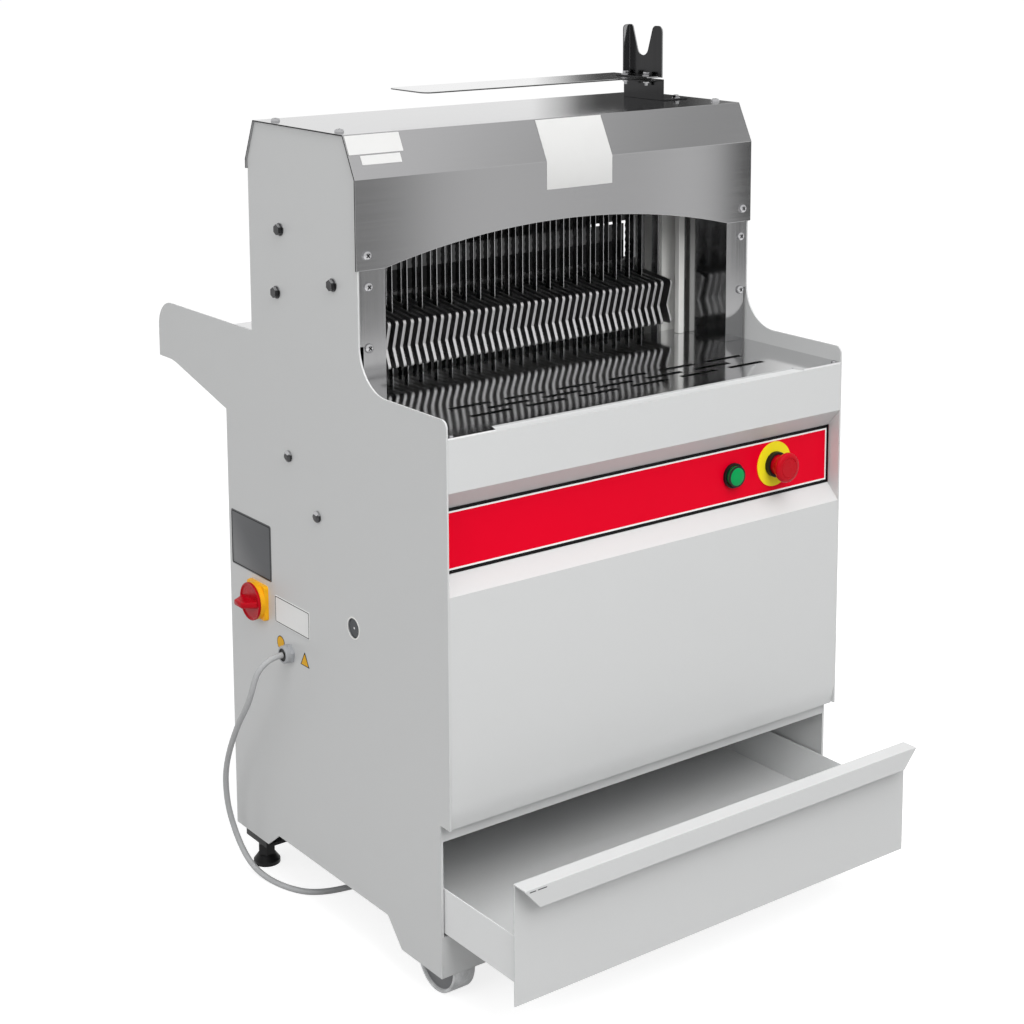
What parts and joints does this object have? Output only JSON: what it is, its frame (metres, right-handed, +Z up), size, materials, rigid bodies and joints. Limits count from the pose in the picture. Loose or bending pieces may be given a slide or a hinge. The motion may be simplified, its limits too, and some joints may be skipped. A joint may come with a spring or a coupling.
{
  "type": "bread slicer machine",
  "caption": "Floor-standing bread slicer: painted cabinet, stainless hood over reciprocating blade frames, sliding pusher comb, slotted table, crumb drawer and bag holder.",
  "frame": {"origin": "middle of the machine's box on the floor, with the drawer open as pictured and the cord left out", "axes": "+Z up, front with the drawer towards -Y, main switch towards -X"},
  "size_m": [0.7002, 0.867, 1.1485],
  "materials": {
    "painted": "satin powder coat",
    "stainless": "brushed",
    "polished": "polished",
    "red_film": "gloss film",
    "zinc": "zinc plated",
    "dark_steel": "dark paint",
    "machined": "machined",
    "chrome": "ground",
    "white_plastic": "smooth",
    "black_plastic": "matte",
    "belt_rubber": "matte",
    "wheel_rubber": "matte",
    "yellow_plastic": "smooth",
    "yellow_film": "smooth",
    "red_plastic": "smooth",
    "green_lens": "translucent lens",
    "grey_plastic": "smooth",
    "cord_grey": "matte sheath",
    "dark_plate": "brushed"
  },
  "bodies": {
    "cabinet": {"left_side_panel": "painted", "right_side_panel": "painted", "front_panel": "painted", "control_strip": "red_film", "hood": "stainless", "hood_rear_panel": "stainless", "columns": "stainless", "guard_posts": "white_plastic", "table": "polished", "rear_table": "polished", "rear_panel": "painted", "front_skirt": "painted", "drive_bed": "dark_steel", "drawer_runners": "zinc", "guide_plates": "stainless", "frame_guides": "white_plastic", "guide_rods": "chrome", "rod_blocks": "dark_steel", "motor": "dark_steel", "bearing_blocks": "dark_steel", "drive_belt": "belt_rubber", "caster_brackets": "zinc", "rear_foot_brackets": "dark_steel", "levelling_feet": "black_plastic", "switch_plate": "yellow_plastic", "cable_gland": "grey_plastic", "estop_ring": "yellow_film", "button_collars": "black_plastic", "contact_blocks": "black_plastic", "bag_bracket": "stainless", "bag_tray": "polished", "bag_fork": "dark_plate", "side_bolts": "polished", "cord_run": "cord_grey", "cord_coil": "cord_grey", "cord_plug": "black_plastic"},
    "drawer": {"drawer_tray": "painted", "drawer_front": "painted"},
    "pusher": {"comb_fingers": "polished", "comb_beam": "stainless", "comb_bushes": "black_plastic", "comb_handle": "black_plastic"},
    "front_frame": {"front_blade_frame": "machined", "front_blades": "polished"},
    "rear_frame": {"rear_blade_frame": "machined", "rear_blades": "polished"},
    "crank": {"crankshaft": "machined", "crank_pulley": "dark_steel"},
    "front_rod_pair": {"front_rods": "machined"},
    "rear_rod_pair": {"rear_rods": "machined"},
    "motor_drive": {"motor_pulley": "dark_steel"},
    "main_switch": {"switch_knob": "red_plastic"},
    "stop_stem": {"estop_stem": "black_plastic"},
    "stop_head": {"estop_head": "red_plastic"},
    "start": {"start_button": "green_lens"},
    "left_caster": {"left_wheel": "wheel_rubber"},
    "right_caster": {"right_wheel": "wheel_rubber"},
    "press": {"press_plate": "stainless"},
    "left_clamp": {"left_press_knob": "black_plastic"},
    "right_clamp": {"right_press_knob": "black_plastic"}
  },
  "joints": [
    {"name": "drawer_slide", "type": "slide", "parent": "cabinet", "child": "drawer", "axis": [0, 1, 0], "range_m": [-0.2, 0.1455]},
    {"name": "pusher_slide", "type": "slide", "parent": "cabinet", "child": "pusher", "axis": [0, 1, 0], "range_m": [0, 0.29]},
    {"name": "front_frame_slide", "type": "slide", "parent": "cabinet", "child": "front_frame", "axis": [0, 0, 1], "range_m": [-0.016, 0.016]},
    {"name": "rear_frame_slide", "type": "slide", "parent": "cabinet", "child": "rear_frame", "axis": [0, 0, 1], "range_m": [-0.016, 0.016]},
    {"name": "crank_turn", "type": "hinge", "parent": "cabinet", "child": "crank", "pos_m": [0.01775, 0.0405, 0.427], "axis": [1, 0, 0], "continuous": true},
    {"name": "front_rod_turn", "type": "hinge", "parent": "crank", "child": "front_rod_pair", "pos_m": [0.01775, 0.0245, 0.427], "axis": [1, 0, 0], "continuous": true},
    {"name": "rear_rod_turn", "type": "hinge", "parent": "crank", "child": "rear_rod_pair", "pos_m": [0.01775, 0.0565, 0.427], "axis": [1, 0, 0], "continuous": true},
    {"name": "motor_turn", "type": "hinge", "parent": "cabinet", "child": "motor_drive", "pos_m": [0.01775, -0.0775, 0.427], "axis": [1, 0, 0], "continuous": true},
    {"name": "switch_turn", "type": "hinge", "parent": "cabinet", "child": "main_switch", "pos_m": [-0.32225, 0.1595, 0.398], "axis": [-1, 0, 0], "range_deg": [0, 90]},
    {"name": "stop_push", "type": "slide", "parent": "cabinet", "child": "stop_stem", "axis": [0, 1, 0], "range_m": [0, 0.005]},
    {"name": "stop_twist", "type": "hinge", "parent": "stop_stem", "child": "stop_head", "pos_m": [0.23375, -0.2855, 0.588], "axis": [0, 1, 0], "range_deg": [0, 45]},
    {"name": "start_push", "type": "slide", "parent": "cabinet", "child": "start", "axis": [0, 1, 0], "range_m": [0, 0.0035], "stiffness_N_per_m": 300},
    {"name": "left_wheel_turn", "type": "hinge", "parent": "cabinet", "child": "left_caster", "pos_m": [-0.26625, -0.222, 0.04], "axis": [1, 0, 0], "continuous": true},
    {"name": "right_wheel_turn", "type": "hinge", "parent": "cabinet", "child": "right_caster", "pos_m": [0.30175, -0.222, 0.04], "axis": [1, 0, 0], "continuous": true},
    {"name": "press_slide", "type": "slide", "parent": "cabinet", "child": "press", "axis": [0, 0, 1], "range_m": [0, 0.1]},
    {"name": "left_clamp_turn", "type": "hinge", "parent": "press", "child": "left_clamp", "pos_m": [-0.13225, 0.1695, 0.865], "axis": [0, 1, 0], "continuous": true},
    {"name": "right_clamp_turn", "type": "hinge", "parent": "press", "child": "right_clamp", "pos_m": [0.16775, 0.1695, 0.865], "axis": [0, 1, 0], "continuous": true}
  ],
  "couplings": [
    {"joint": "rear_frame_slide", "follows": "front_frame_slide", "ratio": -1},
    {"joint": "front_rod_turn", "follows": "crank_turn", "ratio": -1},
    {"joint": "rear_rod_turn", "follows": "crank_turn", "ratio": -1},
    {"joint": "motor_turn", "follows": "crank_turn", "ratio": 2}
  ]
}
